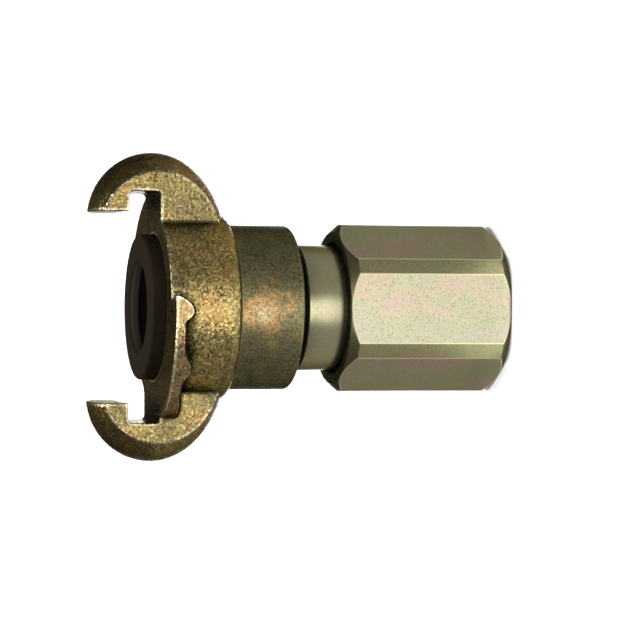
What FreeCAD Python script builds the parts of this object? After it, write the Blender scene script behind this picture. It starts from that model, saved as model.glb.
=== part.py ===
import FreeCAD, Part
import math
import os

from FreeCAD import Vector

# Claw hose coupling with a built-in swivel: a cast head with two hooked claws and cam rims,
# a turned spindle screwed into it, and a hexagon sleeve with a female pipe thread that turns
# freely on the spindle. The axis of the coupling is Z. The sleeve's open end is at z = 0 and the
# claws point up. The claws lie along +X and -X. All sizes are in millimetres.

# Hexagon sleeve
sleeve_length = 37.4
sleeve_across_flats = 34.5
sleeve_turned_d = 37.8
sleeve_end_d = 34.2
sleeve_end_chamfer = 1.9
port_thread_minor_d = 24.12
port_thread_major_d = 26.44
port_thread_length = 15.4
port_relief_length = 2.0
port_relief_d = 27.0
sleeve_web = 3.0
sleeve_passage_d = 17.6
sleeve_mouth_d = 29.6
sleeve_mouth_depth = 2.0

# Spindle: journal, neck, and the stub that screws into the head
neck_d = 28.3
neck_exposed = 8.9
neck_edge = 0.4
mouth_groove_depth = 0.3
mouth_groove_width = 1.7
mouth_groove_ahead = 0.7
spindle_bore_d = 17.2
stub_relief_d = 23.4
stub_relief_length = 2.6
stub_end_chamfer = 0.8
stub_engagement = 11.9
running_clearance = 0.05
thread_pair_pitch_d = 25.28
thread_pair_clearance = 0.04

# Swivel internals
thrust_washer_thickness = 1.5
thrust_washer_bore_d = 18.4
thrust_washer_side_clearance = 0.3
axial_play = 0.1
o_ring_section_d = 2.0
o_ring_groove_width = 2.6
o_ring_bore_clearance = 0.2
rear_o_ring_above_end = 3.1
front_o_ring_above_end = 10.7
wire_above_end = 7.0
wire_d = 2.4
wire_sleeve_clearance = 0.03
wire_spindle_clearance = 0.15
wire_gap_degrees = 16.0
wire_plug_d = 2.9
wire_plug_clearance = 0.02
wire_plug_recess = 0.2

# Flat gaskets
port_gasket_side_clearance = 1.7
port_gasket_bore_d = 18.2
port_gasket_thickness = 2.0
stub_gasket_thickness = 1.5
stub_gasket_bore_d = 18.4
stub_gasket_clearance = 0.1

# Head casting: collar and flange
collar_gap = 1.8
collar_d = 36.8
collar_edge_radius = 0.9
collar_length = 14.5
shoulder_inner_radius = 0.5
shoulder_outer_radius = 2.2
neck_floor_d = 41.6
flange_height = 16.0
flange_edge_radius = 0.4
head_passage_d = 20.0
thread_entry_chamfer = 0.8

# Head casting: seal pocket with its undercut
pocket_d = 32.7
pocket_undercut_d = 35.2
pocket_undercut_height = 2.3
pocket_depth = 5.4

# Seal ring
seal_d = 32.4
seal_protrusion = 3.35
seal_bore_d = 20.4
seal_edge_radius = 0.7
seal_lip_thickness = 2.4
seal_chamber_d = 24.6
seal_chamber_height = 3.4
seal_foot_bore_d = 21.0
seal_foot_clearance = 0.2

# Claws. Lengths along the axis are counted from the flange's front face.
claw_spread = 42.0
claw_width = 18.0
claw_inside_radius = 11.0
claw_edge_rounding = 0.7
hook_edge_rounding = 0.4
hook_slot_width = 7.0
hook_slot_base = 25.4
hook_slot_corner_radius = 1.0
claw_root_radius = 1.0
claw_crown_ratio = 1.22

# Side outline of the claw on its middle plane. Its top lies ahead of the flange's front face,
# a quarter ellipse falls from there to the back, and another one to the tip.
crest_top_ahead = 0.4
crest_top_radius = 34.3
crest_back_radius = 12.0
crest_back_length = 16.6
crest_tip_radius = 20.0
crest_tip_length = 14.1

# The same outline along the edge of the claw's flat side
side_top_ahead = 0.1
side_top_radius = 29.8
side_back_radius = 12.0
side_back_length = 14.3
side_tip_radius = 18.5
side_tip_length = 12.6

# Cam rims
rim_d = 52.0
rim_edge_chamfer = 0.6
rim_edge_rounding = 0.25
rim_root_depth = 1.0
rim_overlap_into_claw_degrees = 5.0

# How far a cutter reaches past the surface that it cuts, how far a rounded edge runs on past the
# slot's corner, and how close a point counts as lying on a surface
cut_margin = 1.0
slot_edge_run_on = 2.5
on_surface = 0.01

# Stations of a cam rim: degrees past the rim's free end, and thickness behind the front face.
# The nose rises to a first bump, the mated claw rests in the long dip, and a second bump stops it.
rim_start_degrees = -84.4
RIM_STATIONS = (
    (0.0, 1.0),
    (0.9, 1.9),
    (2.2, 2.9),
    (4.0, 3.8),
    (6.2, 4.3),
    (8.2, 4.3),
    (10.0, 3.7),
    (11.6, 2.8),
    (14.0, 2.5),
    (21.0, 2.6),
    (27.0, 2.75),
    (31.0, 3.4),
    (34.0, 4.25),
    (37.0, 4.5),
    (40.0, 4.15),
    (43.0, 3.3),
    (46.0, 2.9),
    (52.0, 3.0),
    (60.0, 3.5),
    (70.0, 4.0),
    (84.0, 4.2),
)


# Lengthwise sections of the claw, as shares of its half width
CROWN_SECTIONS = (-1.0, -0.85, -0.6, -0.3, 0.0, 0.3, 0.6, 0.85, 1.0)
OUTLINE_STEPS_PER_QUARTER = 6

# Levels along the axis
web_start = port_thread_length + port_relief_length
chamber_floor = web_start + sleeve_web
spindle_start = chamber_floor + thrust_washer_thickness + axial_play
neck_shoulder = sleeve_length + neck_exposed
collar_start = neck_shoulder + collar_gap
shoulder_level = collar_start + collar_length
flange_face = shoulder_level + flange_height
seal_face = flange_face + seal_protrusion
stub_gasket_level = collar_start + stub_engagement
thread_bottom = stub_gasket_level + stub_gasket_thickness
pocket_floor = flange_face - pocket_depth
journal_r = neck_d / 2
chamber_r = journal_r + running_clearance
wire_level = spindle_start + wire_above_end
wire_ring_r = (journal_r + chamber_r) / 2


def corner_arc(before, corner, after, radius):
    """Tangent points and middle point of the arc that rounds a corner of an outline."""
    back = (before - corner).normalize()
    ahead = (after - corner).normalize()
    half_angle = back.getAngle(ahead) / 2
    reach = radius / math.tan(half_angle)
    bisector = (back + ahead).normalize()
    centre = corner + bisector * (radius / math.sin(half_angle))
    middle = centre - bisector * radius
    return corner + back * reach, middle, corner + ahead * reach


def rounded_face(corners):
    """Face in the XZ plane from (x, z, corner radius) points, given in order."""
    points = [Vector(x, 0, z) for x, z, radius in corners]
    radii = [radius for x, z, radius in corners]
    count = len(points)
    edges = []
    starts = []
    ends = []
    for index in range(count):
        if radii[index] > 0:
            before = points[index - 1]
            after = points[(index + 1) % count]
            first, middle, last = corner_arc(before, points[index], after, radii[index])
            edges.append((index, Part.Arc(first, middle, last).toShape()))
            starts.append(first)
            ends.append(last)
        else:
            starts.append(points[index])
            ends.append(points[index])
    path = []
    arcs = dict(edges)
    for index in range(count):
        if index in arcs:
            path.append(arcs[index])
        following = (index + 1) % count
        if (starts[following] - ends[index]).Length > 1e-6:
            path.append(Part.LineSegment(ends[index], starts[following]).toShape())
    return Part.Face(Part.Wire(path))


def turned(corners):
    """Solid of revolution about the coupling's axis from (radius, level, corner radius) points."""
    face = rounded_face(corners)
    return face.revolve(Vector(0, 0, 0), Vector(0, 0, 1), 360)


def disc(diameter, bottom, top):
    return Part.makeCylinder(diameter / 2, top - bottom, Vector(0, 0, bottom))


def ring(outer_d, inner_d, bottom, top):
    return disc(outer_d, bottom, top).cut(disc(inner_d, bottom, top))


def half_turn(shape):
    """The same shape on the other side of the axis: the head has two-fold symmetry."""
    copy = shape.copy()
    copy.rotate(Vector(0, 0, 0), Vector(0, 0, 1), 180)
    return copy


def hexagon_prism(across_flats, height):
    """Hexagon bar with one pair of flats facing +Y and -Y."""
    corner_r = across_flats / math.sqrt(3)
    corners = [
        Vector(corner_r * math.cos(math.radians(60 * k)), corner_r * math.sin(math.radians(60 * k)), 0)
        for k in range(6)
    ]
    outline = Part.makePolygon(corners + [corners[0]])
    return Part.Face(outline).extrude(Vector(0, 0, height))


def build_hex_sleeve():
    turned_r = sleeve_turned_d / 2
    end_r = sleeve_end_d / 2
    blank = turned(
        [
            (0, 0, 0),
            (end_r, 0, 0),
            (turned_r, sleeve_end_chamfer, 0),
            (turned_r, sleeve_length - sleeve_end_chamfer, 0),
            (end_r, sleeve_length, 0),
            (0, sleeve_length, 0),
        ]
    )
    thread_r = port_thread_minor_d / 2
    entry_r = port_thread_major_d / 2
    bores = turned(
        [
            (0, 0, 0),
            (entry_r, 0, 0),
            (thread_r, entry_r - thread_r, 0),
            (thread_r, port_thread_length, 0),
            (port_relief_d / 2, port_thread_length, 0),
            (port_relief_d / 2, web_start, 0),
            (sleeve_passage_d / 2, web_start, 0),
            (sleeve_passage_d / 2, chamber_floor, 0),
            (chamber_r, chamber_floor, 0),
            (chamber_r, sleeve_length - sleeve_mouth_depth, 0),
            (sleeve_mouth_d / 2, sleeve_length - sleeve_mouth_depth, 0),
            (sleeve_mouth_d / 2, sleeve_length, 0),
            (0, sleeve_length, 0),
        ]
    )
    groove = Part.makeTorus(wire_ring_r, wire_d / 2 + wire_sleeve_clearance, Vector(0, 0, wire_level))
    plug_hole = Part.makeCylinder(
        wire_plug_d / 2 + wire_plug_clearance,
        sleeve_turned_d / 2,
        Vector(0, 0, wire_level),
        Vector(0, 1, 0),
    )
    return blank.common(hexagon_prism(sleeve_across_flats, sleeve_length)).cut([bores, groove, plug_hole])


def build_wire_plug():
    """Pin that closes the hole through which the retaining wire was fed in."""
    inner = wire_ring_r + wire_d / 2 + wire_sleeve_clearance
    outer = sleeve_across_flats / 2 - wire_plug_recess
    return Part.makeCylinder(
        wire_plug_d / 2, outer - inner, Vector(0, inner, wire_level), Vector(0, 1, 0)
    )


def build_retaining_wire():
    """Open ring of round wire, half in the sleeve's groove and half in the spindle's."""
    centre = Vector(wire_ring_r, 0, wire_level)
    section = Part.Face(Part.Wire(Part.Circle(centre, Vector(0, 1, 0), wire_d / 2).toShape()))
    section.rotate(Vector(0, 0, 0), Vector(0, 0, 1), 90 + wire_gap_degrees / 2)
    return section.revolve(Vector(0, 0, 0), Vector(0, 0, 1), 360 - wire_gap_degrees)


def spindle_groove(bottom_d, bottom, top):
    """Cutter for a square groove turned into the spindle."""
    return ring(neck_d + 2 * cut_margin, bottom_d, bottom, top)


def o_ring_groove(level):
    bottom_r = chamber_r - o_ring_bore_clearance - o_ring_section_d
    half_width = o_ring_groove_width / 2
    return spindle_groove(2 * bottom_r, level - half_width, level + half_width)


def build_o_ring(level):
    centre_r = chamber_r - o_ring_bore_clearance - o_ring_section_d / 2
    return Part.makeTorus(centre_r, o_ring_section_d / 2, Vector(0, 0, level))


def build_spindle():
    bore_r = spindle_bore_d / 2
    relief_r = stub_relief_d / 2
    stub_r = thread_pair_pitch_d / 2 - thread_pair_clearance
    relief_top = neck_shoulder + stub_relief_length
    stub_top = stub_gasket_level
    body = turned(
        [
            (bore_r, spindle_start, 0),
            (journal_r - neck_edge, spindle_start, 0),
            (journal_r, spindle_start + neck_edge, 0),
            (journal_r, neck_shoulder - neck_edge, 0),
            (journal_r - neck_edge, neck_shoulder, 0),
            (relief_r, neck_shoulder, 0),
            (relief_r, relief_top, 0),
            (stub_r, relief_top + stub_r - relief_r, 0),
            (stub_r, stub_top - stub_end_chamfer, 0),
            (stub_r - stub_end_chamfer, stub_top, 0),
            (bore_r, stub_top, 0),
        ]
    )
    mouth_groove_top = sleeve_length + mouth_groove_ahead
    mouth_groove = spindle_groove(
        neck_d - 2 * mouth_groove_depth, mouth_groove_top - mouth_groove_width, mouth_groove_top
    )
    wire_groove = Part.makeTorus(wire_ring_r, wire_d / 2 + wire_spindle_clearance, Vector(0, 0, wire_level))
    cuts = [
        mouth_groove,
        wire_groove,
        o_ring_groove(spindle_start + rear_o_ring_above_end),
        o_ring_groove(spindle_start + front_o_ring_above_end),
    ]
    return body.cut(cuts)


def crown_share(across):
    """How far a lengthwise section has risen from the side outline to the crest, from 0 to 1."""
    crown_r = claw_crown_ratio
    low = math.sqrt(crown_r ** 2 - 1)
    return (math.sqrt(crown_r ** 2 - across ** 2) - low) / (crown_r - low)


def between(side, crest, share):
    """Size part of the way from the side outline to the crest."""
    return side + (crest - side) * share


def claw_wire(y, share):
    """Closed lengthwise section at a distance y from the claw's middle plane, risen by a share."""
    top_ahead = between(side_top_ahead, crest_top_ahead, share)
    top_radius = between(side_top_radius, crest_top_radius, share)
    back_radius = between(side_back_radius, crest_back_radius, share)
    back_length = between(side_back_length, crest_back_length, share)
    tip_radius = between(side_tip_radius, crest_tip_radius, share)
    tip_length = between(side_tip_length, crest_tip_length, share)
    points = []
    for step in range(2 * OUTLINE_STEPS_PER_QUARTER + 1):
        angle = math.pi / 2 * step / OUTLINE_STEPS_PER_QUARTER
        rising = step <= OUTLINE_STEPS_PER_QUARTER
        length = back_length if rising else tip_length
        base = back_radius if rising else tip_radius
        ahead = top_ahead - length * math.cos(angle)
        radius = base + (top_radius - base) * math.sin(angle)
        points.append(Vector(radius, y, flange_face + ahead))
    crown = Part.BSplineCurve()
    crown.interpolate(points)
    back_inside = Vector(claw_inside_radius, y, points[0].z)
    tip_inside = Vector(claw_inside_radius, y, points[-1].z)
    edges = [
        crown.toShape(),
        Part.LineSegment(points[-1], tip_inside).toShape(),
        Part.LineSegment(tip_inside, back_inside).toShape(),
        Part.LineSegment(back_inside, points[0]).toShape(),
    ]
    return Part.Wire(edges)


def edges_where(shape, wanted):
    """Edges of a shape whose middle point passes a test."""
    chosen = []
    for edge in shape.Edges:
        middle = edge.valueAt((edge.FirstParameter + edge.LastParameter) / 2)
        if wanted(middle):
            chosen.append(edge)
    return chosen


def build_claw():
    """One claw on the +X side: crowned across its back, flat on both sides, not yet slotted."""
    half = claw_width / 2
    sections = []
    for across in CROWN_SECTIONS:
        sections.append(claw_wire(across * half, crown_share(across)))
    claw = Part.makeLoft(sections, True, False)

    def beside_crown(at):
        return abs(abs(at.y) - half) < on_surface and at.x > claw_spread / 2

    return claw.makeFillet(claw_edge_rounding, edges_where(claw, beside_crown)).Solids[0]


def build_claw_roots():
    """Cast fillets where the flat sides of the +X claw meet the floor beside it."""
    half = claw_width / 2
    floor_r = neck_floor_d / 2
    centre_y = half + claw_root_radius
    centre_x = math.sqrt((floor_r + claw_root_radius) ** 2 - centre_y ** 2)
    on_floor = Vector(centre_x, centre_y, 0) * (floor_r / (floor_r + claw_root_radius))
    corners = [
        Vector(centre_x, half, 0),
        Vector(centre_x, centre_y, 0),
        on_floor,
        Vector(on_floor.x - cut_margin, half - cut_margin, 0),
        Vector(centre_x, half - cut_margin, 0),
    ]
    corner = Part.Face(Part.makePolygon(corners + [corners[0]])).extrude(Vector(0, 0, flange_face))
    hollow = Part.makeCylinder(claw_root_radius, flange_face, Vector(centre_x, centre_y, 0))
    fill = corner.cut(hollow)
    other = fill.mirror(Vector(0, 0, 0), Vector(0, 1, 0))
    silhouette = Part.Face(claw_wire(-claw_width, 0.0)).extrude(Vector(0, 2 * claw_width, 0))
    return [fill.common(silhouette), other.common(silhouette)]


def build_hook_slot():
    """Space behind the hook's tip, in front of the flange, that takes the mate's cam rim."""
    hook_back = flange_face + hook_slot_width
    ahead = flange_face + crest_tip_length + hook_slot_width
    corners = [
        (claw_inside_radius - cut_margin, flange_face, 0),
        (hook_slot_base, flange_face, hook_slot_corner_radius),
        (hook_slot_base, hook_back, hook_slot_corner_radius),
        (claw_spread / 2, hook_back, 0),
        (claw_spread / 2, ahead, 0),
        (claw_inside_radius - cut_margin, ahead, 0),
    ]
    face = rounded_face(corners)
    face.translate(Vector(0, -claw_width, 0))
    return face.extrude(Vector(0, 2 * claw_width, 0))


def build_hook():
    """The +X claw with its slot cut and the cast edges of slot and tip rounded."""
    hook = build_claw().cut(build_hook_slot()).Solids[0]
    half = claw_width / 2
    tip_x = claw_spread / 2
    hook_back = flange_face + hook_slot_width

    def beside_slot(at):
        along = flange_face + on_surface < at.z < hook_back + slot_edge_run_on
        deep = tip_x - on_surface < at.x < hook_slot_base + on_surface
        return along and deep and abs(abs(at.y) - half) < on_surface

    def across_tip(at):
        in_middle = abs(at.x - tip_x) < on_surface and abs(at.y) < on_surface
        return at.z > hook_back - on_surface and in_middle

    cast_edges = edges_where(hook, lambda at: beside_slot(at) or across_tip(at))
    return hook.makeFillet(hook_edge_rounding, cast_edges).Solids[0]


def rim_curve(radius, thickness_offset):
    """Curve that follows the rim's back at a radius; a positive offset takes it forward."""
    points = []
    for station, thickness in RIM_STATIONS:
        angle = math.radians(rim_start_degrees - station)
        level = flange_face - thickness + thickness_offset
        points.append(Vector(radius * math.cos(angle), radius * math.sin(angle), level))
    curve = Part.BSplineCurve()
    curve.interpolate(Points=points, Parameters=[station for station, thickness in RIM_STATIONS])
    return curve.toShape()


def below_rim(inner, outer):
    """Everything behind the ruled surface between two (radius, offset) curves of the rim."""
    surface = Part.makeRuledSurface(rim_curve(*inner), rim_curve(*outer))
    return surface.extrude(Vector(0, 0, -flange_height))


def build_cam_rim():
    """Cam rim that runs from its free end round to the side of the -X claw."""
    outer = rim_d / 2
    inner = neck_floor_d / 2 - rim_root_depth
    claw_side_degrees = math.degrees(math.asin(claw_width / rim_d))
    sweep = 180 + rim_start_degrees - claw_side_degrees + rim_overlap_into_claw_degrees
    deepest = max(thickness for station, thickness in RIM_STATIONS) + cut_margin
    section = [
        Vector(inner, 0, flange_face - deepest),
        Vector(outer, 0, flange_face - deepest),
        Vector(outer, 0, flange_face),
        Vector(inner, 0, flange_face),
    ]
    face = Part.Face(Part.makePolygon(section + [section[0]]))
    face.rotate(Vector(0, 0, 0), Vector(0, 0, 1), rim_start_degrees)
    sector = face.revolve(Vector(0, 0, 0), Vector(0, 0, -1), sweep)
    back = below_rim((inner - cut_margin, 0), (outer + cut_margin, 0))
    chamfer = below_rim(
        (outer - 2 * rim_edge_chamfer, -rim_edge_chamfer),
        (outer + cut_margin, rim_edge_chamfer + cut_margin),
    )
    rim = sector.cut([back, chamfer]).Solids[0]

    def round_front(at):
        return abs(at.z - flange_face) < on_surface and math.hypot(at.x, at.y) > outer - on_surface

    return rim.makeFillet(rim_edge_rounding, edges_where(rim, round_front)).Solids[0]


def build_claw_head():
    collar_r = collar_d / 2
    floor_r = neck_floor_d / 2
    body = turned(
        [
            (0, collar_start, 0),
            (collar_r, collar_start, collar_edge_radius),
            (collar_r, shoulder_level, shoulder_inner_radius),
            (floor_r, shoulder_level, shoulder_outer_radius),
            (floor_r, flange_face, flange_edge_radius),
            (0, flange_face, 0),
        ]
    )
    lugs = [build_hook(), build_cam_rim()] + build_claw_roots()
    head = body.fuse(lugs + [half_turn(lug) for lug in lugs])
    thread_r = thread_pair_pitch_d / 2
    entry_r = thread_r + thread_entry_chamfer
    inside = turned(
        [
            (0, collar_start, 0),
            (entry_r, collar_start, 0),
            (thread_r, collar_start + thread_entry_chamfer, 0),
            (thread_r, thread_bottom, 0),
            (head_passage_d / 2, thread_bottom, 0),
            (head_passage_d / 2, pocket_floor, 0),
            (pocket_undercut_d / 2, pocket_floor, 0),
            (pocket_undercut_d / 2, pocket_floor + pocket_undercut_height, 0),
            (pocket_d / 2, pocket_floor + pocket_undercut_height, 0),
            (pocket_d / 2, flange_face, 0),
            (0, flange_face, 0),
        ]
    )
    return head.cut(inside)


def build_seal_ring():
    """Rubber seal: a snap-in foot, a pressed-open inner chamber and the sealing lip."""
    foot_r = pocket_undercut_d / 2 - seal_foot_clearance
    foot_top = pocket_floor + pocket_undercut_height - seal_foot_clearance
    seal_r = seal_d / 2
    chamber_bottom = seal_face - seal_lip_thickness - seal_chamber_height
    return turned(
        [
            (seal_foot_bore_d / 2, pocket_floor, 0),
            (foot_r, pocket_floor, 0),
            (foot_r, foot_top, 0),
            (seal_r, foot_top, 0),
            (seal_r, seal_face, seal_edge_radius),
            (seal_bore_d / 2, seal_face, seal_edge_radius / 2),
            (seal_bore_d / 2, seal_face - seal_lip_thickness, 0),
            (seal_chamber_d / 2, seal_face - seal_lip_thickness, 0),
            (seal_chamber_d / 2, chamber_bottom, 0),
            (seal_foot_bore_d / 2, chamber_bottom, 0),
        ]
    )


def build_all():
    washer_d = 2 * (chamber_r - thrust_washer_side_clearance)
    stub_gasket_d = thread_pair_pitch_d - 2 * stub_gasket_clearance
    port_gasket_d = port_relief_d - 2 * port_gasket_side_clearance
    gasket_bottom = web_start - port_gasket_thickness
    return {
        "claw_head": build_claw_head(),
        "seal_ring": build_seal_ring(),
        "spindle": build_spindle(),
        "spindle_gasket": ring(stub_gasket_d, stub_gasket_bore_d, stub_gasket_level, thread_bottom),
        "hex_sleeve": build_hex_sleeve(),
        "thrust_washer": ring(
            washer_d, thrust_washer_bore_d, chamber_floor, chamber_floor + thrust_washer_thickness
        ),
        "o_ring_rear": build_o_ring(spindle_start + rear_o_ring_above_end),
        "o_ring_front": build_o_ring(spindle_start + front_o_ring_above_end),
        "retaining_wire": build_retaining_wire(),
        "wire_plug": build_wire_plug(),
        "port_gasket": ring(port_gasket_d, port_gasket_bore_d, gasket_bottom, web_start),
    }


def main():
    os.makedirs("parts", exist_ok=True)
    for name, shape in build_all().items():
        shape.exportStep(os.path.join("parts", name + ".step"))
        print(name, "valid", shape.isValid(), "solids", len(shape.Solids), "volume", round(shape.Volume, 1))


main()
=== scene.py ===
"""Claw hose coupling with a swivel sleeve, dressed for a studio photograph.

The frame is the one of the solids: the axis of the coupling is Z, the sleeve's open end is at
z = 0 and the claws are at +X and -X. Sizes below are in millimetres and are turned to metres
where a mesh is made.
"""

import logging
import math
from dataclasses import dataclass
from enum import Enum
from typing import Any, Sequence

import bmesh
import bpy
from mathutils import Matrix, Vector

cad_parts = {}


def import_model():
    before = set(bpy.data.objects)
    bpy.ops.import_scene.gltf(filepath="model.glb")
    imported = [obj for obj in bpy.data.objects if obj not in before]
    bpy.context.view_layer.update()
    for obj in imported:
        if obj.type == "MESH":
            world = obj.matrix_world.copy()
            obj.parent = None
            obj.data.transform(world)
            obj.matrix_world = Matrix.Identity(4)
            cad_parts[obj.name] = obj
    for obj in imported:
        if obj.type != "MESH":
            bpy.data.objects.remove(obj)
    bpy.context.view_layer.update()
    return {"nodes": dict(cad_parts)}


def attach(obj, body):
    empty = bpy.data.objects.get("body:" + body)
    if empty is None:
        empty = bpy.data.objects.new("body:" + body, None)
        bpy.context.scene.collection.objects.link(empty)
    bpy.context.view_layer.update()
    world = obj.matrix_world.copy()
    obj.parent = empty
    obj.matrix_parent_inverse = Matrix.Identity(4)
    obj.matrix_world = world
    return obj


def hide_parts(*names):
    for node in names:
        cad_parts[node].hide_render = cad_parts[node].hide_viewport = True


MM = 0.001
FULL_TURN = 2 * math.pi
MERGE_DISTANCE = 1e-7
SHARP_DEGREES = 32.0
WHITE = "ffffff"
# Sockets of a Mix node set to colours, whose names it shares with its other sockets
MIX_FACTOR, MIX_A, MIX_B, MIX_RESULT = 0, 6, 7, 2
log = logging.getLogger("coupling")

Triple = tuple[float, float, float]
Ramp = Sequence[tuple[float, str]]


def linear(colour: str) -> tuple[float, float, float, float]:
    """Turn an sRGB hex colour into linear RGBA.

    Args:
        colour: Six hex digits, such as "c8b88a".

    Returns:
        The linear red, green, blue and an alpha of 1.
    """
    channels = [int(colour[at : at + 2], 16) / 255 for at in (0, 2, 4)]
    straight = [c / 12.92 if c <= 0.04045 else ((c + 0.055) / 1.055) ** 2.4 for c in channels]
    return (straight[0], straight[1], straight[2], 1.0)


class Body(Enum):
    """Rigid bodies of the frame."""

    SLEEVE = "sleeve"
    HEAD = "head"


class CastingSlot(Enum):
    """Material slots of the casting."""

    BLASTED = 0
    MACHINED = 1
    RIM = 2
    NECK = 3
    STAINED = 4
    WORN = 5


class SealSlot(Enum):
    """Material slots of the seal."""

    MOULDED = 0
    DUSTY = 1


class SleeveSlot(Enum):
    """Material slots of the sleeve."""

    FLAT = 0
    WORN = 1
    TURNED = 2


class NodeTree:
    """A material's node tree, with one way to add a node."""

    def __init__(self, material: bpy.types.Material) -> None:
        """Start an empty tree.

        Args:
            material: The material whose tree is rebuilt.
        """
        material.use_nodes = True
        self.tree = material.node_tree
        self.tree.nodes.clear()

    def add(
        self,
        kind: str,
        inputs: dict[str | int, Any] | None = None,
        stops: Ramp = (),
        **settings: Any,
    ) -> bpy.types.Node:
        """Add a node with its settings, values and links.

        Args:
            kind: The node's Blender type.
            inputs: Socket name or number to a value, or to the output socket to link from.
            stops: Positions and sRGB hex colours, in order, where the node is a colour ramp.
            settings: Attributes of the node.

        Returns:
            The new node.
        """
        node = self.tree.nodes.new(kind)
        for name, value in settings.items():
            setattr(node, name, value)
        for key, value in (inputs or {}).items():
            if isinstance(value, bpy.types.NodeSocket):
                self.tree.links.new(value, node.inputs[key])
            else:
                node.inputs[key].default_value = value
        for number, (position, colour) in enumerate(stops):
            elements = node.color_ramp.elements
            element = elements[number] if number < len(elements) else elements.new(position)
            element.position = position
            element.color = linear(colour)
        return node


@dataclass(frozen=True)
class Finish:
    """A surface finish that makes one material."""

    name: str

    def make(self) -> bpy.types.Material:
        """Build the material on Object coordinates.

        Returns:
            The material.
        """
        material = bpy.data.materials.new(self.name)
        nodes = NodeTree(material)
        place = nodes.add("ShaderNodeTexCoord").outputs["Object"]
        shader = self.surface(nodes, place)
        nodes.add("ShaderNodeOutputMaterial", {"Surface": shader.outputs[0]})
        return material

    def surface(self, nodes: NodeTree, place: bpy.types.NodeSocket) -> bpy.types.Node:
        """Add the finish's own nodes.

        Args:
            nodes: The material's node tree.
            place: The point on the object, in metres.

        Returns:
            The shader node.
        """
        raise NotImplementedError


@dataclass(frozen=True)
class BlastedZincCasting(Finish):
    """Malleable iron, shot blasted, zinc plated and yellow chromated.

    The blasted skin sparkles in grains, each of which tips its own way. The real grit is about
    0.25 mm and is drawn at 0.4 mm, or it would blur in the picture. The chromate drifts between
    olive green and brownish gold over about a centimetre. Its corners are painted dark brown as
    shade, by ambient occlusion, and it is rubbed pale along the edges.
    """

    name: str = "blasted_casting_yellow_zinc"
    dark: str = "594f35"
    olive: str = "675c3b"
    gold: str = "76663f"
    copper: str = "755b3a"
    patch_stops: tuple[float, ...] = (0.34, 0.46, 0.56, 0.68)
    patch_mm: float = 9.0
    patch_detail: float = 3.0
    patch_roughness: float = 0.6
    grain_mm: float = 0.4
    grain_smoothness: float = 0.3
    grain_tilt: float = 0.4
    speckle: Ramp = ((0.3, "b0b0b0"), (0.6, "c8c8c8"), (0.8, WHITE))
    # Painted shade in the corners: its colour, how far the occlusion reaches and where it fades
    painted_corner_shade: str = "33271a"
    shade_reach_mm: float = 2.0
    shade_full_at: float = 0.72
    shade_end_at: float = 0.84
    rubbed: str = "b0a686"
    rubbed_mm: float = 1.0
    rubbed_start: float = 0.84
    rubbed_full: float = 0.6
    corner_samples: int = 8
    edge_tint: str = "8c8670"
    metallic: float = 0.9
    roughness: float = 0.29

    def surface(self, nodes: NodeTree, place: bpy.types.NodeSocket) -> bpy.types.Node:
        """Add drifting chromate, grains, painted shade in the corners and rubbed edges.

        Args:
            nodes: The material's node tree.
            place: The point on the object, in metres.

        Returns:
            The shader node.
        """
        patches = nodes.add(
            "ShaderNodeTexNoise",
            {
                "Vector": place,
                "Scale": 1 / (self.patch_mm * MM),
                "Detail": self.patch_detail,
                "Roughness": self.patch_roughness,
            },
            noise_dimensions="4D",
        ).outputs[0]
        shades = (self.dark, self.olive, self.gold, self.copper)
        colour = nodes.add(
            "ShaderNodeValToRGB", {0: patches}, stops=tuple(zip(self.patch_stops, shades))
        ).outputs[0]
        cells = nodes.add(
            "ShaderNodeTexVoronoi",
            {
                "Vector": place,
                "Scale": 1 / (self.grain_mm * MM),
                "Smoothness": self.grain_smoothness,
            },
            feature="SMOOTH_F1",
        ).outputs["Color"]
        speckle = nodes.add("ShaderNodeValToRGB", {0: cells}, stops=self.speckle).outputs[0]
        # Painted shade: ambient occlusion darkens the colour in corners and under the rims
        corners = nodes.add(
            "ShaderNodeAmbientOcclusion",
            {"Distance": self.shade_reach_mm * MM},
            samples=self.corner_samples,
        ).outputs["AO"]
        painted_shade = nodes.add(
            "ShaderNodeValToRGB",
            {0: corners},
            stops=((self.shade_full_at, self.painted_corner_shade), (self.shade_end_at, WHITE)),
        ).outputs[0]
        for shade in (speckle, painted_shade):
            colour = nodes.add(
                "ShaderNodeMix",
                {MIX_FACTOR: 1.0, MIX_A: colour, MIX_B: shade},
                data_type="RGBA",
                blend_type="MULTIPLY",
            ).outputs[MIX_RESULT]
        edges = nodes.add(
            "ShaderNodeAmbientOcclusion",
            {"Distance": self.rubbed_mm * MM},
            samples=self.corner_samples,
            inside=True,
        ).outputs["AO"]
        wear = nodes.add(
            "ShaderNodeMapRange",
            {"Value": edges, "From Min": self.rubbed_start, "From Max": self.rubbed_full},
        ).outputs[0]
        worn = nodes.add(
            "ShaderNodeMix",
            {MIX_FACTOR: wear, MIX_A: colour, MIX_B: linear(self.rubbed)},
            data_type="RGBA",
        ).outputs[MIX_RESULT]
        # Each grain's random colour, centred on zero, tips the surface normal
        normal = nodes.add("ShaderNodeNewGeometry").outputs["Normal"]
        lean = nodes.add(
            "ShaderNodeVectorMath", {0: cells, 1: (0.5,) * 3}, operation="SUBTRACT"
        ).outputs[0]
        tipped = nodes.add(
            "ShaderNodeVectorMath",
            {0: lean, 1: (self.grain_tilt,) * 3, 2: normal},
            operation="MULTIPLY_ADD",
        ).outputs[0]
        facet = nodes.add("ShaderNodeVectorMath", {0: tipped}, operation="NORMALIZE").outputs[0]
        return nodes.add(
            "ShaderNodeBsdfPrincipled",
            {
                "Base Color": worn,
                "Metallic": self.metallic,
                "Roughness": self.roughness,
                "Specular Tint": linear(self.edge_tint),
                "Normal": facet,
            },
        )


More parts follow.
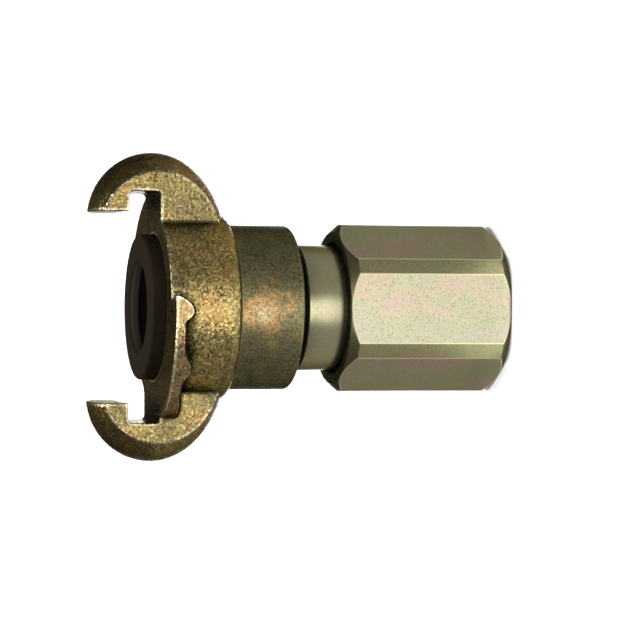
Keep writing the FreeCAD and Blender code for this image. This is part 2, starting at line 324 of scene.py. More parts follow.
@dataclass(frozen=True)
class MachinedZincCasting(Finish):
    """The same casting where it was turned: the collar.

    Smoother than the blasted skin, with a copper-red cloud on one side, olive green round it, a
    fine mottle, and hair-fine scratches that run mostly round the collar. The scratches are drawn
    0.25 mm wide, several times their real width, so that they show.
    """

    name: str = "machined_casting_yellow_zinc"
    olive: str = "555038"
    moss: str = "484733"
    copper: str = "755d3d"
    pale: str = "7e7256"
    cloud_stops: tuple[float, ...] = (0.40, 0.55, 0.68, 0.84, 1.0)
    patch_at: Triple = (-2.0, -18.0, 56.5)
    patch_mm: float = 10.5
    patch_weight: float = 0.5
    cloud_mm: float = 5.0
    cloud_detail: float = 5.0
    cloud_roughness: float = 0.66
    mottle_mm: float = 0.5
    mottle_detail: float = 3.0
    mottle_roughness: float = 0.7
    mottle: Ramp = ((0.36, "a4a4a4"), (0.5, "d4d4d4"), (0.62, WHITE))
    scratch_mm: float = 0.25
    scratch_detail: float = 2.0
    scratch_stretch: Triple = (0.08, 0.08, 1.0)
    bump_mm: float = 0.012
    edge_tint: str = "8c8670"
    metallic: float = 0.92
    roughness: float = 0.42

    def surface(self, nodes: NodeTree, place: bpy.types.NodeSocket) -> bpy.types.Node:
        """Add the copper cloud, the mottle and the scratches.

        Args:
            nodes: The material's node tree.
            place: The point on the object, in metres.

        Returns:
            The shader node.
        """
        offset = [-centre / self.patch_mm for centre in self.patch_at]
        stretch = (1 / (self.patch_mm * MM),) * 3
        centred = nodes.add(
            "ShaderNodeMapping", {"Vector": place, "Location": offset, "Scale": stretch}
        ).outputs[0]
        patch = nodes.add(
            "ShaderNodeTexGradient", {"Vector": centred}, gradient_type="SPHERICAL"
        ).outputs[1]
        clouds = nodes.add(
            "ShaderNodeTexNoise",
            {
                "Vector": place,
                "Scale": 1 / (self.cloud_mm * MM),
                "Detail": self.cloud_detail,
                "Roughness": self.cloud_roughness,
            },
        ).outputs[0]
        ragged = nodes.add(
            "ShaderNodeMath", {0: patch, 1: self.patch_weight, 2: clouds}, operation="MULTIPLY_ADD"
        ).outputs[0]
        shades = (self.moss, self.olive, self.olive, self.copper, self.pale)
        colour = nodes.add(
            "ShaderNodeValToRGB", {0: ragged}, stops=tuple(zip(self.cloud_stops, shades))
        ).outputs[0]
        mottle = nodes.add(
            "ShaderNodeTexNoise",
            {
                "Vector": place,
                "Scale": 1 / (self.mottle_mm * MM),
                "Detail": self.mottle_detail,
                "Roughness": self.mottle_roughness,
            },
        ).outputs[0]
        shade = nodes.add("ShaderNodeValToRGB", {0: mottle}, stops=self.mottle).outputs[0]
        mottled = nodes.add(
            "ShaderNodeMix",
            {MIX_FACTOR: 1.0, MIX_A: colour, MIX_B: shade},
            data_type="RGBA",
            blend_type="MULTIPLY",
        ).outputs[MIX_RESULT]
        stretched = nodes.add(
            "ShaderNodeMapping", {"Vector": place, "Scale": self.scratch_stretch}
        ).outputs[0]
        scratches = nodes.add(
            "ShaderNodeTexNoise",
            {
                "Vector": stretched,
                "Scale": 1 / (self.scratch_mm * MM),
                "Detail": self.scratch_detail,
            },
        ).outputs[0]
        bump = nodes.add(
            "ShaderNodeBump", {"Height": scratches, "Distance": self.bump_mm * MM, "Strength": 1.0}
        ).outputs[0]
        return nodes.add(
            "ShaderNodeBsdfPrincipled",
            {
                "Base Color": mottled,
                "Metallic": self.metallic,
                "Roughness": self.roughness,
                "Specular Tint": linear(self.edge_tint),
                "Normal": bump,
            },
        )


@dataclass(frozen=True)
class ZincSteel(Finish):
    """Free-cutting steel, drawn or turned, zinc plated and yellow chromated.

    Smoother than the casting: a fine speckle, and faint pink, green and yellow clouds where the
    chromate film varies in thickness. The speckle is drawn at 0.35 mm, coarser than it is, so
    that it shows.
    """

    name: str = "drawn_flat_yellow_zinc"
    sand: str = "6e685c"
    green: str = "6a6a57"
    yellow: str = "6f6957"
    pink: str = "74665c"
    cloud_stops: tuple[float, ...] = (0.34, 0.46, 0.55, 0.64)
    cloud_mm: float = 8.0
    cloud_detail: float = 3.0
    cloud_roughness: float = 0.6
    streak: float = 0.5
    grain_mm: float = 0.35
    grain_detail: float = 2.0
    speck: str = "c4c4c4"
    between: str = "f0f0f0"
    speck_stops: tuple[float, ...] = (0.3, 0.42, 0.65)
    bump_mm: float = 0.012
    edge_tint: str = "7e846a"
    metallic: float = 0.88
    roughness: float = 0.37

    def surface(self, nodes: NodeTree, place: bpy.types.NodeSocket) -> bpy.types.Node:
        """Add the clouds and the speckle.

        Args:
            nodes: The material's node tree.
            place: The point on the object, in metres.

        Returns:
            The shader node.
        """
        drawn = nodes.add(
            "ShaderNodeMapping", {"Vector": place, "Scale": (1.0, 1.0, self.streak)}
        ).outputs[0]
        clouds = nodes.add(
            "ShaderNodeTexNoise",
            {
                "Vector": drawn,
                "Scale": 1 / (self.cloud_mm * MM),
                "Detail": self.cloud_detail,
                "Roughness": self.cloud_roughness,
            },
        ).outputs[0]
        shades = (self.sand, self.green, self.yellow, self.pink)
        colour = nodes.add(
            "ShaderNodeValToRGB", {0: clouds}, stops=tuple(zip(self.cloud_stops, shades))
        ).outputs[0]
        grains = nodes.add(
            "ShaderNodeTexNoise",
            {"Vector": place, "Scale": 1 / (self.grain_mm * MM), "Detail": self.grain_detail},
        ).outputs[0]
        specks = tuple(zip(self.speck_stops, (self.speck, self.between, WHITE)))
        speckle = nodes.add("ShaderNodeValToRGB", {0: grains}, stops=specks).outputs[0]
        speckled = nodes.add(
            "ShaderNodeMix",
            {MIX_FACTOR: 1.0, MIX_A: colour, MIX_B: speckle},
            data_type="RGBA",
            blend_type="MULTIPLY",
        ).outputs[MIX_RESULT]
        bump = nodes.add(
            "ShaderNodeBump", {"Height": grains, "Distance": self.bump_mm * MM}
        ).outputs[0]
        return nodes.add(
            "ShaderNodeBsdfPrincipled",
            {
                "Base Color": speckled,
                "Metallic": self.metallic,
                "Roughness": self.roughness,
                "Specular Tint": linear(self.edge_tint),
                "Normal": bump,
            },
        )


@dataclass(frozen=True)
class PlainFinish(Finish):
    """One colour with a faint grain: rubber, worn edges, wire, washer and paper."""

    colour: str
    metallic: float = 0.0
    roughness: float = 0.5
    specular: float = 0.5
    grain_mm: float = 0.5
    grain_detail: float = 3.0
    bump_mm: float = 0.01

    def surface(self, nodes: NodeTree, place: bpy.types.NodeSocket) -> bpy.types.Node:
        """Add the grain.

        Args:
            nodes: The material's node tree.
            place: The point on the object, in metres.

        Returns:
            The shader node.
        """
        grains = nodes.add(
            "ShaderNodeTexNoise",
            {"Vector": place, "Scale": 1 / (self.grain_mm * MM), "Detail": self.grain_detail},
        ).outputs[0]
        bump = nodes.add(
            "ShaderNodeBump", {"Height": grains, "Distance": self.bump_mm * MM}
        ).outputs[0]
        return nodes.add(
            "ShaderNodeBsdfPrincipled",
            {
                "Base Color": linear(self.colour),
                "Metallic": self.metallic,
                "Roughness": self.roughness,
                "Specular IOR Level": self.specular,
                "Normal": bump,
            },
        )


# Blasted skin between claws and collar: a copy painted lighter gold as a highlight,
# with a wider painted shade under the rims
BLASTED_PAINTED_BRIGHTER_UNDER_RIMS = BlastedZincCasting(
    name="blasted_casting_painted_brighter",
    dark="5f5538",
    olive="6e633e",
    gold="806f44",
    copper="7f643e",
    shade_reach_mm=4.5,
)
# Undersides of the rims, painted almost black brown as the shadow behind them
PAINTED_SHADOW_BEHIND_RIMS = BlastedZincCasting(
    name="casting_painted_shadow_behind_rims",
    dark="251d12",
    olive="292014",
    gold="2d2416",
    copper="2a2014",
    edge_tint="3c3424",
    rubbed="2d2416",
)
# Claw edges worn through the chromate by handling: a pale, sparkling line
WORN_CLAW_EDGE = BlastedZincCasting(
    name="worn_casting_edge",
    dark="857b60",
    olive="978c6e",
    gold="a89c7c",
    copper="a4957a",
    edge_tint="b8b09a",
    grain_tilt=0.5,
)
# Rim of the cams, rubbed by the mating hooks: calmer grain, reddish and paler than the rest
RUBBED_RIM = BlastedZincCasting(
    name="rubbed_casting_rim",
    dark="6c5a40",
    olive="7a6649",
    gold="86704c",
    copper="8a664a",
    patch_mm=5.0,
    grain_tilt=0.3,
)
# Turned bands and corners of the sleeve: darker and greener than the drawn flats
TURNED_STEEL = ZincSteel(
    name="turned_steel_yellow_zinc",
    sand="5f5c47",
    green="5c5d42",
    yellow="605c42",
    pink="645a47",
)
# The spindle is ground for its seals: the glossiest steel, almost without speckle
GROUND_STEEL = ZincSteel(
    name="ground_steel_yellow_zinc",
    sand="67614f",
    green="63624c",
    yellow="68624b",
    pink="685f4d",
    speck="e0e0e0",
    roughness=0.25,
    bump_mm=0.004,
)
# Edges of the flats, where the zinc is worn: a thin light outline
WORN_STEEL = PlainFinish("worn_steel_edge", "837960", metallic=0.9, roughness=0.4)
# Moulded nitrile rubber, matt and nearly black with a brown cast
SEAL_RUBBER = PlainFinish("moulded_black_brown_rubber", "1b150f", roughness=0.66, specular=0.02)
# The same rubber inside the bore, painted lighter grey as if lit there, and quite matt
RUBBER_PAINTED_LIT = PlainFinish("rubber_bore_painted_lit", "4c493e", roughness=0.7, specular=0.1)
# Gaskets and O-rings: plain black rubber with a low sheen
GASKET_RUBBER = PlainFinish("moulded_black_rubber", "1d1d1d", roughness=0.5)
# Drawn spring steel, bright grey
SPRING_WIRE = PlainFinish("drawn_spring_steel", "8e9196", metallic=1.0, roughness=0.3)
# Plug pressed in and left bare: a dull grey spot in the flat
PRESSED_PLUG = PlainFinish("pressed_steel_plug", "54524a", metallic=1.0, roughness=0.5)
# Natural acetal, milky white
WASHER_ACETAL = PlainFinish("natural_acetal", "dedbd0", roughness=0.4)
# Matt background paper
PAPER = PlainFinish("matt_white_paper", "f4f4f2", roughness=0.9)


@dataclass(frozen=True)
class Corner:
    """Corner of a turned profile: radius and level on the axis, and the rounding of the corner."""

    radius: float
    level: float
    rounding: float = 0.0


def turned_mesh(corners: Sequence[Corner], steps: int, arc_segments: int = 4) -> bmesh.types.BMesh:
    """Turn a closed profile about the axis.

    Args:
        corners: The profile's corners in order, in millimetres.
        steps: Divisions of the full turn.
        arc_segments: Divisions of each rounded corner.

    Returns:
        A closed mesh in metres, with its faces pointing outwards.
    """
    mesh = bmesh.new()
    points = [mesh.verts.new((c.radius * MM, 0.0, c.level * MM)) for c in corners]
    mesh.faces.new(points)
    for number, (point, corner) in enumerate(zip(points, corners)):
        if corner.rounding > 0:
            before = corners[number - 1]
            after = corners[(number + 1) % len(corners)]
            back = Vector((before.radius - corner.radius, before.level - corner.level))
            ahead = Vector((after.radius - corner.radius, after.level - corner.level))
            reach = corner.rounding / math.tan(back.angle(ahead) / 2)
            bmesh.ops.bevel(
                mesh,
                geom=[point],
                offset=reach * MM,
                offset_type="OFFSET",
                affect="VERTICES",
                segments=arc_segments,
                profile=0.5,
                material=-1,
            )
    bmesh.ops.delete(mesh, geom=list(mesh.faces), context="FACES_ONLY")
    bmesh.ops.spin(
        mesh,
        geom=list(mesh.verts) + list(mesh.edges),
        cent=(0, 0, 0),
        axis=(0, 0, 1),
        angle=FULL_TURN,
        steps=steps,
        use_merge=True,
    )
    bmesh.ops.remove_doubles(mesh, verts=list(mesh.verts), dist=MERGE_DISTANCE)
    bmesh.ops.recalc_face_normals(mesh, faces=list(mesh.faces))
    return mesh


def finished_piece(
    name: str, mesh: bmesh.types.BMesh, materials: Sequence[bpy.types.Material]
) -> bpy.types.Object:
    """Turn a mesh into a smooth-shaded object with its materials.

    Args:
        name: The piece's name.
        mesh: The finished mesh, which is freed.
        materials: The piece's materials, in the order of its slots.

    Returns:
        The object, at the origin.
    """
    data = bpy.data.meshes.new(name)
    mesh.normal_update()
    mesh.to_mesh(data)
    mesh.free()
    if "custom_normal" in data.attributes:
        data.attributes.remove(data.attributes["custom_normal"])
    data.shade_smooth()
    data.set_sharp_from_angle(angle=math.radians(SHARP_DEGREES))
    for material in materials:
        data.materials.append(material)
    piece = bpy.data.objects.new(name, data)
    bpy.context.scene.collection.objects.link(piece)
    return piece


@dataclass
class ClawHead:
    """The casting: its solid is kept, with its loose triangles joined so that it shades smoothly.

    The levels and radii below tell which finish a face gets.
    """

    finishes: dict[CastingSlot, bpy.types.Material]
    weld_mm: float = 0.0005
    collar_r: float = 18.4
    collar_fillet: float = 0.6
    shoulder: float = 62.6
    claw_half_width: float = 9.0
    neck_floor_r: float = 20.81
    rim_r: float = 26.0
    rim_back: float = 73.0
    face: float = 78.6
    edge: float = 0.35
    flush: float = 0.985
    steep: float = 0.3

    def finish_of(self, mesh: bpy.types.Mesh, polygon: bpy.types.MeshPolygon) -> CastingSlot:
        """Choose the finish of a face.

        Args:
            mesh: The casting's mesh.
            polygon: One of its faces.

        Returns:
            The face's material slot.
        """
        at = polygon.center / MM
        radius = math.hypot(at.x, at.y)
        if at.z < self.shoulder and radius < self.collar_r + self.collar_fillet:
            return CastingSlot.MACHINED
        if radius < self.neck_floor_r and self.shoulder < at.z < self.face - self.edge:
            return CastingSlot.NECK
        on_rims = self.rim_back < at.z < self.face + self.edge
        beside_claws = abs(at.y) > self.claw_half_width and on_rims
        # Faces under the rims get the painted shadow
        if beside_claws and radius > self.neck_floor_r and polygon.normal.z < -self.steep:
            return CastingSlot.STAINED
        if beside_claws and radius > self.rim_r - self.edge:
            return CastingSlot.RIM
        across = [mesh.vertices[corner].co.y / MM for corner in polygon.vertices]
        outermost = max(min(across), -max(across))
        on_claw_side = outermost > self.claw_half_width - self.edge
        rounded = self.steep < abs(polygon.normal.y) < self.flush
        if abs(at.x) > self.neck_floor_r and on_claw_side and rounded:
            return CastingSlot.WORN
        return CastingSlot.BLASTED

    def build(self, node: bpy.types.Object) -> list[bpy.types.Object]:
        """Copy the node's mesh, join its triangles and give each face its finish.

        Args:
            node: The casting's node in the frame.

        Returns:
            The dressed piece.
        """
        mesh = bmesh.new()
        mesh.from_mesh(node.data)
        bmesh.ops.remove_doubles(mesh, verts=list(mesh.verts), dist=self.weld_mm * MM)
        piece = finished_piece("head_casting", mesh, [self.finishes[slot] for slot in CastingSlot])
        for polygon in piece.data.polygons:
            polygon.material_index = self.finish_of(piece.data, polygon).value
        piece.modifiers.new("weighted normals", "WEIGHTED_NORMAL").keep_sharp = True
        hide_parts("claw_head")
        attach(piece, Body.HEAD.value)
        return [piece]


@dataclass
class Spindle:
    """The turned neck between collar and sleeve, with its stub, seal grooves and wire groove."""

    finish: bpy.types.Material
    neck_r: float = 14.15
    edge: float = 0.4
    start: float = 22.0
    shoulder: float = 46.3
    bore_r: float = 8.6
    bore_edge: float = 0.3
    relief_r: float = 11.7
    relief_top: float = 48.9
    relief_fillet: float = 0.3
    stub_r: float = 12.6
    stub_top: float = 60.0
    stub_chamfer: float = 0.8
    groove_depth: float = 0.3
    groove_low: float = 36.4
    groove_high: float = 38.1
    groove_fillet: float = 0.08
    groove_front_edge: float = 0.12
    seal_groove_r: float = 12.0
    seal_groove_half: float = 1.3
    seal_groove_edge: float = 0.15
    seal_groove_fillet: float = 0.2
    seal_groove_levels: tuple[float, float] = (25.1, 32.7)
    wire_groove_level: float = 29.0
    wire_groove_r: float = 1.32
    wire_groove_shoulder: tuple[float, float] = (0.87, 0.5)
    steps: int = 192

    def seal_groove(self, level: float) -> list[Corner]:
        """List the corners of an O-ring groove.

        Args:
            level: The middle of the groove on the axis.

        Returns:
            Its corners, from rear to front.
        """
        low, high = level - self.seal_groove_half, level + self.seal_groove_half
        return [
            Corner(self.neck_r, low, self.seal_groove_edge),
            Corner(self.seal_groove_r, low, self.seal_groove_fillet),
            Corner(self.seal_groove_r, high, self.seal_groove_fillet),
            Corner(self.neck_r, high, self.seal_groove_edge),
        ]

    def wire_groove(self) -> list[Corner]:
        """List the corners of the round groove that the retaining wire runs in.

        Returns:
            Its corners, from rear to front.
        """
        depth, height = (share * self.wire_groove_r for share in self.wire_groove_shoulder)
        level = self.wire_groove_level
        return [
            Corner(self.neck_r, level - self.wire_groove_r),
            Corner(self.neck_r - depth, level - height),
            Corner(self.neck_r - self.wire_groove_r, level),
            Corner(self.neck_r - depth, level + height),
            Corner(self.neck_r, level + self.wire_groove_r),
        ]

    def profile(self) -> list[Corner]:
        """List the corners of the turned profile.

        Returns:
            The corners, from the bore's rear edge outwards and forwards.
        """
        rear, front = self.seal_groove_levels
        groove_r = self.neck_r - self.groove_depth
        return [
            Corner(self.bore_r, self.start, self.bore_edge),
            Corner(self.neck_r, self.start, self.edge),
            *self.seal_groove(rear),
            *self.wire_groove(),
            *self.seal_groove(front),
            Corner(self.neck_r, self.groove_low, self.groove_fillet),
            Corner(groove_r, self.groove_low, self.groove_fillet),
            Corner(groove_r, self.groove_high, self.groove_fillet),
            Corner(self.neck_r, self.groove_high, self.groove_front_edge),
            Corner(self.neck_r, self.shoulder, self.edge),
            Corner(self.relief_r, self.shoulder, self.relief_fillet),
            Corner(self.relief_r, self.relief_top, self.relief_fillet),
            Corner(self.stub_r, self.relief_top + self.stub_r - self.relief_r),
            Corner(self.stub_r, self.stub_top - self.stub_chamfer),
            Corner(self.stub_r - self.stub_chamfer, self.stub_top),
            Corner(self.bore_r, self.stub_top),
        ]

    def build(self) -> list[bpy.types.Object]:
        """Build and dress the spindle.

        Returns:
            The dressed piece.
        """
        mesh = turned_mesh(self.profile(), self.steps)
        piece = finished_piece("turned_spindle", mesh, [self.finish])
        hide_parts("spindle")
        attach(piece, Body.HEAD.value)
        return [piece]


@dataclass
class SealRing:
    """The rubber seal that stands out of the head: foot, inner chamber and sealing lip."""

    finishes: dict[SealSlot, bpy.types.Material]
    outer_r: float = 16.2
    face: float = 81.95
    edge: float = 0.7
    bore_r: float = 10.2
    lip: float = 2.4
    lip_edge: float = 0.35
    chamber_r: float = 12.3
    chamber_floor: float = 76.15
    chamber_fillet: float = 0.5
    foot_bore_r: float = 10.5
    foot_r: float = 17.4
    foot_edge: float = 0.2
    floor: float = 73.2
    foot_top: float = 75.3
    steps: int = 192

    def build(self) -> list[bpy.types.Object]:
        """Build and dress the seal, with its inside painted lighter as if lit.

        Returns:
            The dressed piece.
        """
        corners = [
            Corner(self.foot_bore_r, self.floor, self.foot_edge),
            Corner(self.foot_r, self.floor, self.foot_edge),
            Corner(self.foot_r, self.foot_top, self.foot_edge),
            Corner(self.outer_r, self.foot_top, self.foot_edge),
            Corner(self.outer_r, self.face, self.edge),
            Corner(self.bore_r, self.face, self.lip_edge),
            Corner(self.bore_r, self.face - self.lip, self.lip_edge),
            Corner(self.chamber_r, self.face - self.lip, self.chamber_fillet),
            Corner(self.chamber_r, self.chamber_floor, self.chamber_fillet),
            Corner(self.foot_bore_r, self.chamber_floor, self.foot_edge),
        ]
        mesh = turned_mesh(corners, self.steps)
        piece = finished_piece("rubber_seal", mesh, [self.finishes[slot] for slot in SealSlot])
        for polygon in piece.data.polygons:
            at = polygon.center / MM
            # Inner faces get the rubber painted lighter, standing in for light in the bore
            inwards = polygon.normal.x * at.x + polygon.normal.y * at.y < 0
            if inwards and at.z < self.face - self.edge:
                polygon.material_index = SealSlot.DUSTY.value
        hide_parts("seal_ring")
        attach(piece, Body.HEAD.value)
        return [piece]


@dataclass
class HexSleeve:
    """The hexagonal sleeve: turned, then six flats, with the port thread inside."""

    finishes: dict[SleeveSlot, bpy.types.Material]
    length: float = 37.4
    turned_r: float = 18.9
    end_r: float = 17.1
    end_edge: float = 0.3
    chamfer: float = 1.9
    edge: float = 0.25
    half_across_flats: float = 17.25
    flats: int = 6
    first_flat_degrees: float = 30.0
    flat_edge: float = 0.16
    port_major_r: float = 13.22
    port_end: float = 15.4
    relief_r: float = 13.5
    web_start: float = 17.4
    passage_r: float = 8.8
    chamber_floor: float = 20.4
    chamber_r: float = 14.2
    inner_edge: float = 0.2
    mouth_r: float = 14.8
    mouth_depth: float = 2.0
    mouth_edge: float = 0.1
    thread_pitch: float = 1.814
    thread_crest_r: float = 12.06
    thread_turns: int = 7
    ridge_foot_share: float = 0.46
    ridge_crest_half: float = 0.12
    ridge_sunk: float = 0.15
    ridge_steps_per_turn: int = 96
    plug_level: float = 29.0
    plug_hole_r: float = 1.47
    plug_hole_steps: int = 48
    drill_margin: float = 1.0
    steps: int = 240

    def blank(self) -> bmesh.types.BMesh:
        """Turn the sleeve before its flats are cut.

        Returns:
            The turned mesh.
        """
        mouth_floor = self.length - self.mouth_depth
        corners = [
            Corner(self.port_major_r, 0.0, self.edge),
            Corner(self.end_r, 0.0, self.end_edge),
            Corner(self.turned_r, self.chamfer, self.edge),
            Corner(self.turned_r, self.length - self.chamfer, self.edge),
            Corner(self.end_r, self.length, self.end_edge),
            Corner(self.mouth_r, self.length, self.edge),
            Corner(self.mouth_r, mouth_floor, self.mouth_edge),
            Corner(self.chamber_r, mouth_floor, self.mouth_edge),
            Corner(self.chamber_r, self.chamber_floor, self.inner_edge),
            Corner(self.passage_r, self.chamber_floor, self.inner_edge),
            Corner(self.passage_r, self.web_start, self.inner_edge),
            Corner(self.relief_r, self.web_start, self.inner_edge),
            Corner(self.relief_r, self.port_end),
            Corner(self.port_major_r, self.port_end),
        ]
        return turned_mesh(corners, self.steps)

    def cut_flats(self, mesh: bmesh.types.BMesh) -> None:
        """Cut the flats off the turned blank and break their edges.

        Args:
            mesh: The blank, which is changed.
        """
        for face in mesh.faces:
            face.material_index = SleeveSlot.TURNED.value
        for flat in range(self.flats):
            angle = math.radians(360 / self.flats * flat + self.first_flat_degrees)
            across = Vector((math.cos(angle), math.sin(angle), 0))
            cut = bmesh.ops.bisect_plane(
                mesh,
                geom=list(mesh.verts) + list(mesh.edges) + list(mesh.faces),
                dist=MERGE_DISTANCE,
                plane_co=across * self.half_across_flats * MM,
                plane_no=across,
                clear_outer=True,
            )
            rim = [e for e in cut["geom_cut"] if isinstance(e, bmesh.types.BMEdge)]
            flat_face = bmesh.ops.edgeloop_fill(mesh, edges=rim)["faces"][0]
            flat_face.material_index = SleeveSlot.FLAT.value
            bevel = bmesh.ops.bevel(
                mesh,
                geom=list(flat_face.edges),
                offset=self.flat_edge * MM,
                offset_type="OFFSET",
                affect="EDGES",
                segments=2,
                profile=0.5,
                material=-1,
            )
            for face in bevel["faces"]:
                face.material_index = SleeveSlot.WORN.value

    def drill(self, piece: bpy.types.Object) -> None:
        """Drill the hole that the retaining wire is fed through, in the flat at +Y.

        Args:
            piece: The sleeve, whose mesh is replaced.
        """
        start = self.chamber_r - self.drill_margin
        end = self.half_across_flats + self.drill_margin
        middle = Vector((0, (start + end) / 2, self.plug_level)) * MM
        tool = bmesh.new()
        bmesh.ops.create_cone(
            tool,
            cap_ends=True,
            segments=self.plug_hole_steps,
            radius1=self.plug_hole_r * MM,
            radius2=self.plug_hole_r * MM,
            depth=(end - start) * MM,
            matrix=Matrix.Translation(middle) @ Matrix.Rotation(FULL_TURN / 4, 4, "X"),
        )
        drill = finished_piece("plug_hole_drill", tool, [self.finishes[SleeveSlot.FLAT]])
        cut = piece.modifiers.new("plug hole", "BOOLEAN")
        cut.object = drill
        cut.solver = "EXACT"
        graph = bpy.context.evaluated_depsgraph_get()
        drilled = bpy.data.meshes.new_from_object(piece.evaluated_get(graph))
        piece.modifiers.clear()
        piece.data = drilled
        bpy.data.objects.remove(drill)
        drilled.set_sharp_from_angle(angle=math.radians(SHARP_DEGREES))
        piece.modifiers.new("weighted normals", "WEIGHTED_NORMAL").keep_sharp = True

    def thread(self) -> bmesh.types.BMesh:
        """Wind the ridge of the port thread inside the bore.

        Returns:
            The ridge, with its foot sunk into the sleeve's wall.
        """
        mesh = bmesh.new()
        foot_half = self.ridge_foot_share * self.thread_pitch
        foot_r = self.port_major_r + self.ridge_sunk
        start = self.port_end - self.thread_turns * self.thread_pitch - foot_half
        section = [
            (foot_r, start - foot_half),
            (foot_r, start + foot_half),
            (self.thread_crest_r, start + self.ridge_crest_half),
            (self.thread_crest_r, start - self.ridge_crest_half),
        ]
        points = [mesh.verts.new((radius * MM, 0.0, level * MM)) for radius, level in section]
        mesh.faces.new(points)
        bmesh.ops.spin(
            mesh,
            geom=list(mesh.verts) + list(mesh.edges) + list(mesh.faces),
            cent=(0, 0, 0),
            axis=(0, 0, 1),
            dvec=(0, 0, self.thread_pitch * MM / self.ridge_steps_per_turn),
            angle=FULL_TURN * self.thread_turns,
            steps=self.ridge_steps_per_turn * self.thread_turns,
        )
        bmesh.ops.recalc_face_normals(mesh, faces=list(mesh.faces))
        return mesh

    def build(self) -> list[bpy.types.Object]:
        """Build and dress the sleeve and its thread.

        Returns:
            The sleeve and the ridge of its thread.
        """
        mesh = self.blank()
        self.cut_flats(mesh)
        materials = [self.finishes[slot] for slot in SleeveSlot]
        piece = finished_piece("hex_sleeve_body", mesh, materials)
        self.drill(piece)
        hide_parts("hex_sleeve")
        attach(piece, Body.SLEEVE.value)
        ridge = self.thread()
        thread = finished_piece("port_thread_ridge", ridge, [self.finishes[SleeveSlot.TURNED]])
        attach(thread, Body.SLEEVE.value)
        return [piece, thread]


@dataclass
class InnerPieces:
    """The small pieces inside the swivel, which keep their solids."""

    gasket: bpy.types.Material
    wire: bpy.types.Material
    plug: bpy.types.Material
    washer: bpy.types.Material

    def dress(self, nodes: dict[str, bpy.types.Object]) -> list[bpy.types.Object]:
        """Give each kept node its material.

        Args:
            nodes: The frame's nodes by name.

        Returns:
            The dressed nodes.
        """
        finishes = {
            "spindle_gasket": self.gasket,
            "o_ring_front": self.gasket,
            "o_ring_rear": self.gasket,
            "port_gasket": self.gasket,
            "retaining_wire": self.wire,
            "wire_plug": self.plug,
            "thrust_washer": self.washer,
        }
        for name, material in finishes.items():
            slots = nodes[name].data.materials
            slots.clear()
            slots.append(material)
        return [nodes[name] for name in finishes]


@dataclass(frozen=True)
class Lamp:
    """An area lamp: its centre, the point that it faces, its panel and its power."""

    name: str
    at: Triple
    aim: Triple
    size: tuple[float, float]
    watts: float
    spread_degrees: float = 180.0
    shape: str = "RECTANGLE"

    def build(self) -> None:
        """Place the lamp."""
        data = bpy.data.lights.new(self.name, "AREA")
        data.spread = math.radians(self.spread_degrees)
        data.shape = self.shape
        data.size, data.size_y = (side * MM for side in self.size)
        data.energy = self.watts
        lamp = bpy.data.objects.new(self.name, data)
        lamp.location = Vector(self.at) * MM
        direction = Vector(self.aim) * MM - lamp.location
        lamp.rotation_euler = direction.to_track_quat("-Z", "Y").to_euler()
        bpy.context.scene.collection.objects.link(lamp)


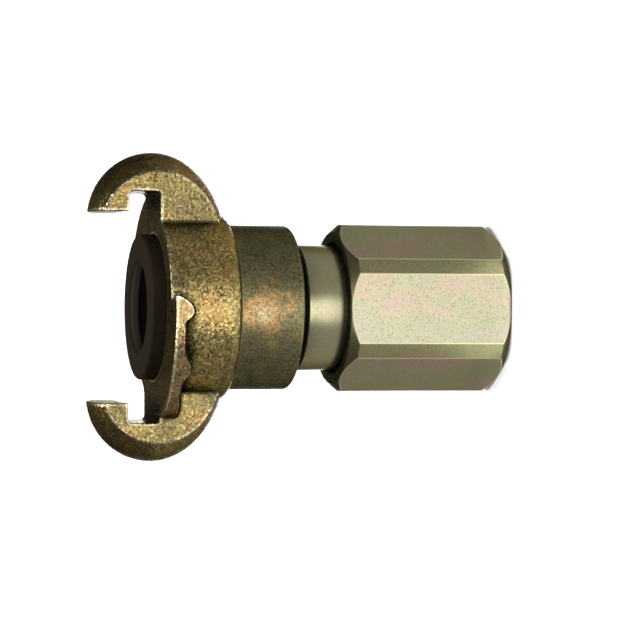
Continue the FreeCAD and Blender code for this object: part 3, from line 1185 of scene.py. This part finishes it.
@dataclass
class Studio:
    """Pale floor, soft lamps and the camera.

    The coupling stands upright and the camera looks down a little, so each face that points at
    the camera mirrors the floor. The panels that lie there draw its highlights.
    """

    floor_size: float = 6000.0
    lamps: tuple[Lamp, ...] = (
        Lamp("front softbox", (-110, -1300, 82), (0, 0, 82), (900, 160), 8.6),
        Lamp("near low panel", (-6, -74, 0.5), (-6, -74, 500), (62, 113), 0.088),
        Lamp("far low panel", (-12, -286, 0.5), (-12, -286, 500), (140, 310), 0.92),
        Lamp("back low panel", (12, 240, 0.5), (12, 240, 500), (140, 400), 0.7),
        Lamp("top softbox", (0, 100, 1300), (0, 100, 0), (600, 2000), 11.5, spread_degrees=80),
        Lamp("foot disk", (0, 0, 0.3), (0, 0, 500), (46, 46), 0.0045, shape="DISK"),
        Lamp("foot fill", (0, 0, 3), (0, 0, 0), (90, 90), 0.0055, shape="DISK"),
    )
    world_strength: float = 0.2
    camera_at: Triple = (3.392, -569.976, 195.438)
    camera_forward: Triple = (-0.005741, 0.964726, -0.263192)
    camera_up: Triple = (0.999962, 0.00727, 0.004836)
    camera_clip: float = 10.0
    focal_px: float = 2609.25
    frame_px: float = 640.0
    centre_row_px: float = 307.8
    sensor_mm: float = 36.0

    def place_camera(self) -> None:
        """Create the camera that the photograph was taken with, lying on its side."""
        data = bpy.data.cameras.new("camera")
        data.sensor_fit = "HORIZONTAL"
        data.sensor_width = self.sensor_mm
        data.lens = self.focal_px / self.frame_px * self.sensor_mm
        data.shift_y = (self.centre_row_px - self.frame_px / 2) / self.frame_px
        data.clip_start = self.camera_clip * MM
        forward = Vector(self.camera_forward).normalized()
        up = Vector(self.camera_up)
        right = forward.cross(up).normalized()
        up = right.cross(forward)
        turn = Matrix((right, up, -forward)).transposed()
        camera = bpy.data.objects.new("camera", data)
        camera.matrix_world = Matrix.Translation(Vector(self.camera_at) * MM) @ turn.to_4x4()
        bpy.context.scene.collection.objects.link(camera)
        bpy.context.scene.camera = camera

    def build(self) -> None:
        """Lay the floor, light the set and place the camera."""
        mesh = bmesh.new()
        bmesh.ops.create_grid(mesh, x_segments=1, y_segments=1, size=self.floor_size / 2 * MM)
        floor = finished_piece("floor", mesh, [PAPER.make()])
        for lamp in self.lamps:
            lamp.build()
        world = bpy.data.worlds.new("studio")
        bpy.context.scene.world = world
        world.use_nodes = True
        background = world.node_tree.nodes["Background"]
        background.inputs["Color"].default_value = linear(WHITE)
        background.inputs["Strength"].default_value = self.world_strength
        bpy.context.scene.view_settings.view_transform = "Standard"
        self.place_camera()


def main() -> None:
    """Build every piece in order, then the set."""
    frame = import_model()
    head = ClawHead(
        {
            CastingSlot.BLASTED: BlastedZincCasting().make(),
            CastingSlot.MACHINED: MachinedZincCasting().make(),
            CastingSlot.RIM: RUBBED_RIM.make(),
            CastingSlot.NECK: BLASTED_PAINTED_BRIGHTER_UNDER_RIMS.make(),
            CastingSlot.STAINED: PAINTED_SHADOW_BEHIND_RIMS.make(),
            CastingSlot.WORN: WORN_CLAW_EDGE.make(),
        }
    )
    spindle = Spindle(GROUND_STEEL.make())
    seal = SealRing({SealSlot.MOULDED: SEAL_RUBBER.make(), SealSlot.DUSTY: RUBBER_PAINTED_LIT.make()})
    sleeve = HexSleeve(
        {
            SleeveSlot.FLAT: ZincSteel().make(),
            SleeveSlot.WORN: WORN_STEEL.make(),
            SleeveSlot.TURNED: TURNED_STEEL.make(),
        }
    )
    inner = InnerPieces(
        GASKET_RUBBER.make(), SPRING_WIRE.make(), PRESSED_PLUG.make(), WASHER_ACETAL.make()
    )
    for pieces in (
        head.build(frame["nodes"]["claw_head"]),
        spindle.build(),
        seal.build(),
        sleeve.build(),
        inner.dress(frame["nodes"]),
    ):
        for piece in pieces:
            log.info("built %s with %d faces", piece.name, len(piece.data.polygons))
    Studio().build()


if __name__ == "__main__":
    logging.basicConfig(level=logging.INFO)
    main()
